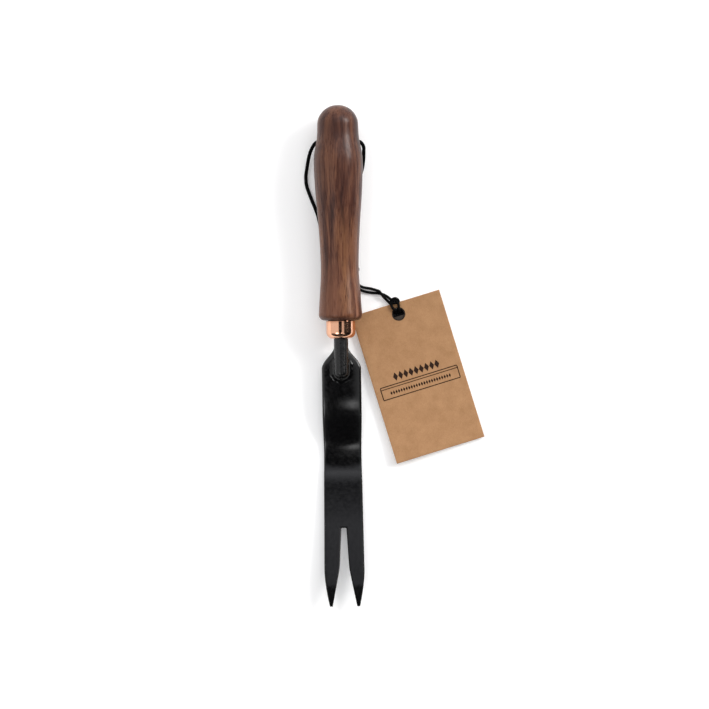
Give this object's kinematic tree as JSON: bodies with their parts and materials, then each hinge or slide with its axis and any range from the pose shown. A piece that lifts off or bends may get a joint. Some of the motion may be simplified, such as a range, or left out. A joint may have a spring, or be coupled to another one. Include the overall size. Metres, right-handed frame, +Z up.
{
  "type": "hand weeding fork",
  "caption": "Hand weeding fork with a turned wooden handle, copper ferrule, welded neck and a cranked, forked steel blade, with a hang cord and a card tag on a string.",
  "frame": {"origin": "on the surface the tool lies on, under the middle of the tool's length and width", "axes": "+Y from the fork's tips towards the butt of the handle, +Z up from the surface, +X to the right of the tool seen from above with the butt away"},
  "size_m": [0.1076, 0.305, 0.0298],
  "materials": {
    "walnut": "satin oiled",
    "copper": "polished copper",
    "black_steel": "satin black",
    "black_coating": "satin black, lightly mottled",
    "weld": "glossy black over a weld bead",
    "adhesive": "hardened resin",
    "black_cord": "twisted cotton cord",
    "waxed_string": "waxed two-ply string",
    "kraft_card": "matt kraft"
  },
  "bodies": {
    "tool": {"handle": "walnut", "ferrule": "copper", "shank": "black_steel", "tang_adhesive": "adhesive", "blade": "black_coating", "weld_bead": "weld", "hang_cord": "black_cord", "hang_cord_knot": "black_cord", "tag_string": "waxed_string", "tag_string_hitch": "waxed_string"},
    "tag": {"tag_card": "kraft_card"}
  },
  "joints": [
    {"name": "tag_swing", "type": "hinge", "parent": "tool", "child": "tag", "pos_m": [0.0354, 0.0251, 0.0026], "axis": [0, 0, 1], "range_deg": [0, 60]}
  ]
}
